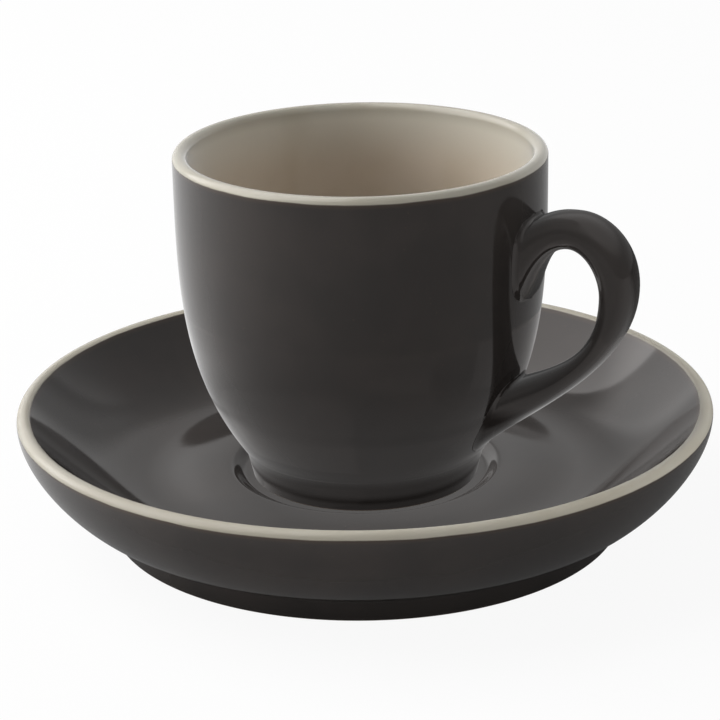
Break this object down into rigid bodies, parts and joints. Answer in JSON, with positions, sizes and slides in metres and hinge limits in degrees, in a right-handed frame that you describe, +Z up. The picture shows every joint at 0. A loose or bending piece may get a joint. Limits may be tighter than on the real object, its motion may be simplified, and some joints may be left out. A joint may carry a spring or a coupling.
{
  "type": "espresso cup with saucer",
  "caption": "Small round glazed cup with a loop handle, standing in the well of a deep round saucer on a foot ring; dark outside with pale rims and a pale lining.",
  "frame": {"origin": "on the common axis of cup and saucer, at the table that the saucer stands on", "axes": "+Z up the axis, +X from the axis towards the cup's handle"},
  "size_m": [0.12, 0.12, 0.0664],
  "materials": {
    "clay": "bare fired stoneware, matt",
    "dark_glaze": "glossy warm charcoal glaze",
    "pale_glaze": "satin off-white glaze",
    "lining_glaze": "glossy cream glaze"
  },
  "bodies": {
    "saucer": {"saucer_dish": "clay", "saucer_foot_ring": "dark_glaze", "saucer_face_glaze": "dark_glaze", "saucer_rim_band": "pale_glaze", "saucer_underside_glaze": "dark_glaze", "saucer_base_glaze": "dark_glaze"},
    "cup_foot": {"cup_foot_ring": "dark_glaze"},
    "cup": {"cup_bowl": "clay", "cup_lining": "lining_glaze", "cup_jacket": "dark_glaze", "cup_base_glaze": "dark_glaze", "cup_handle": "dark_glaze", "handle_upper_lute": "dark_glaze", "handle_lower_lute": "dark_glaze"}
  },
  "joints": [
    {"name": "cup_lift", "type": "slide", "parent": "saucer", "child": "cup_foot", "axis": [0, 0, 1], "range_m": [0, 0.09]},
    {"name": "cup_turn", "type": "hinge", "parent": "cup_foot", "child": "cup", "pos_m": [0, 0, 0.012], "axis": [0, 0, 1], "continuous": true}
  ]
}
